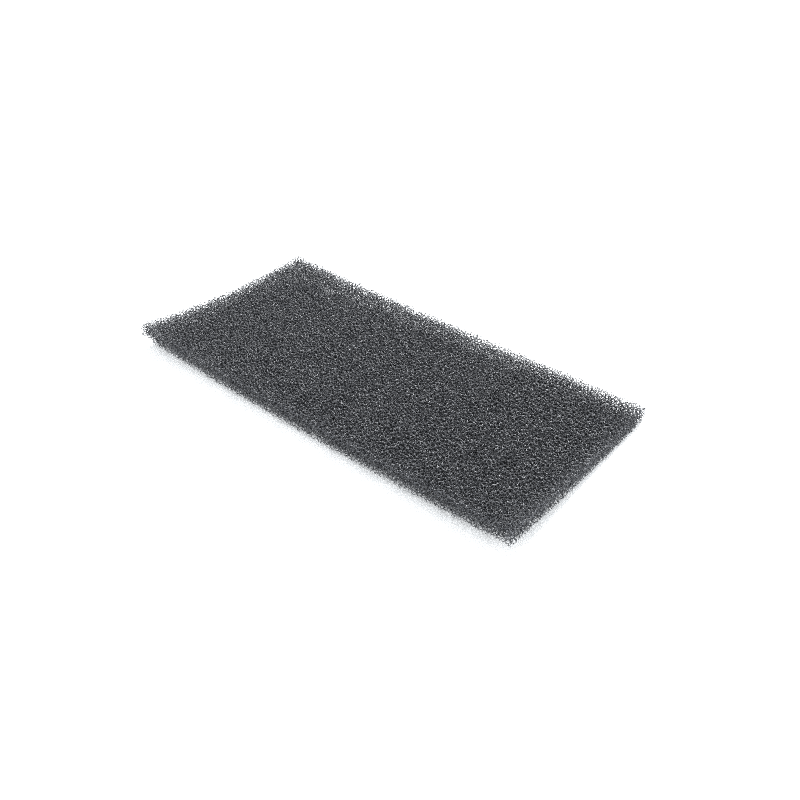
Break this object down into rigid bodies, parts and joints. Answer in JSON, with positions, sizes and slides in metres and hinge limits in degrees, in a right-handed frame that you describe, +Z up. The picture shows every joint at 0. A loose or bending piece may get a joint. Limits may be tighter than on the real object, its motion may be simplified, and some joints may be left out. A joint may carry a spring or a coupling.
{
  "type": "air filter pad",
  "caption": "Thin rectangular air filter pad cut from coarse dark grey open-cell foam, with square-cut edges and a lacy, see-through rim.",
  "frame": {"origin": "middle of the pad's underside, on the surface that it lies on", "axes": "+X along the pad's long side, +Y across it, +Z up through its thickness"},
  "size_m": [0.24, 0.12, 0.008],
  "materials": {
    "foam": "matte dark charcoal reticulated polyurethane foam"
  },
  "bodies": {
    "root": {"foam_pad": "foam"}
  },
  "joints": []
}
